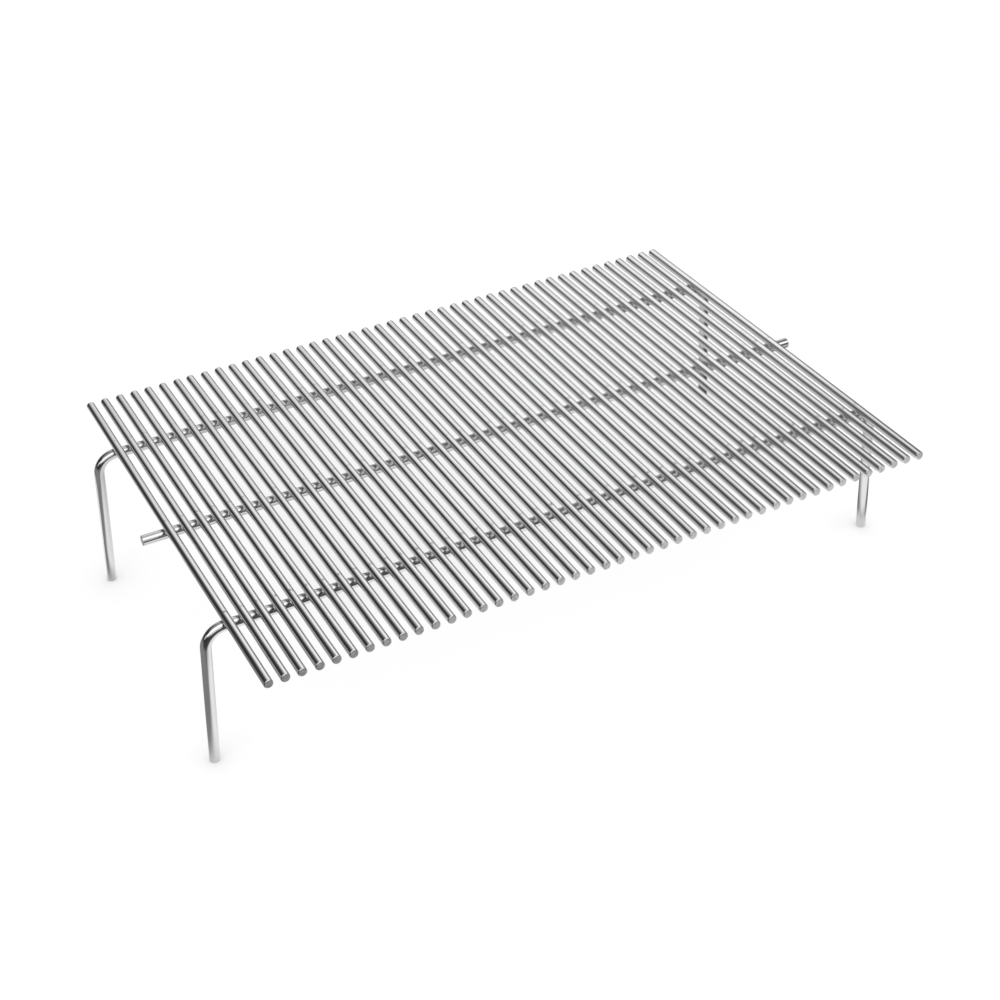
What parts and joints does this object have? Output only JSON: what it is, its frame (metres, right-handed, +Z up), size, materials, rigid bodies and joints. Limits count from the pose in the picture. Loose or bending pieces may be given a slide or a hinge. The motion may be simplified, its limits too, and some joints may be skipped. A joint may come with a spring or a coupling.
{
  "type": "camp grill grate",
  "caption": "Rigid welded camp grill: parallel round steel bars on cross rods, with the outer rods bent down into legs and the middle rod standing out past the sides.",
  "frame": {"origin": "on the floor, under the middle of the bars' box", "axes": "+X along the cross rods to the right, +Y along the bars to the rear, +Z up from the feet"},
  "size_m": [0.5064, 0.332, 0.1109],
  "materials": {
    "bar_steel": "bright drawn, polished stainless steel",
    "rod_steel": "bright drawn stainless steel, slightly duller"
  },
  "bodies": {
    "root": {"bar_01": "bar_steel", "bar_02": "bar_steel", "bar_03": "bar_steel", "bar_04": "bar_steel", "bar_05": "bar_steel", "bar_06": "bar_steel", "bar_07": "bar_steel", "bar_08": "bar_steel", "bar_09": "bar_steel", "bar_10": "bar_steel", "bar_11": "bar_steel", "bar_12": "bar_steel", "bar_13": "bar_steel", "bar_14": "bar_steel", "bar_15": "bar_steel", "bar_16": "bar_steel", "bar_17": "bar_steel", "bar_18": "bar_steel", "bar_19": "bar_steel", "bar_20": "bar_steel", "bar_21": "bar_steel", "bar_22": "bar_steel", "bar_23": "bar_steel", "bar_24": "bar_steel", "bar_25": "bar_steel", "bar_26": "bar_steel", "bar_27": "bar_steel", "bar_28": "bar_steel", "bar_29": "bar_steel", "bar_30": "bar_steel", "bar_31": "bar_steel", "bar_32": "bar_steel", "bar_33": "bar_steel", "bar_34": "bar_steel", "bar_35": "bar_steel", "bar_36": "bar_steel", "bar_37": "bar_steel", "bar_38": "bar_steel", "bar_39": "bar_steel", "bar_40": "bar_steel", "bar_41": "bar_steel", "bar_42": "bar_steel", "bar_43": "bar_steel", "bar_44": "bar_steel", "bar_45": "bar_steel", "front_leg_rod": "rod_steel", "middle_rod": "rod_steel", "rear_leg_rod": "rod_steel"}
  },
  "joints": []
}
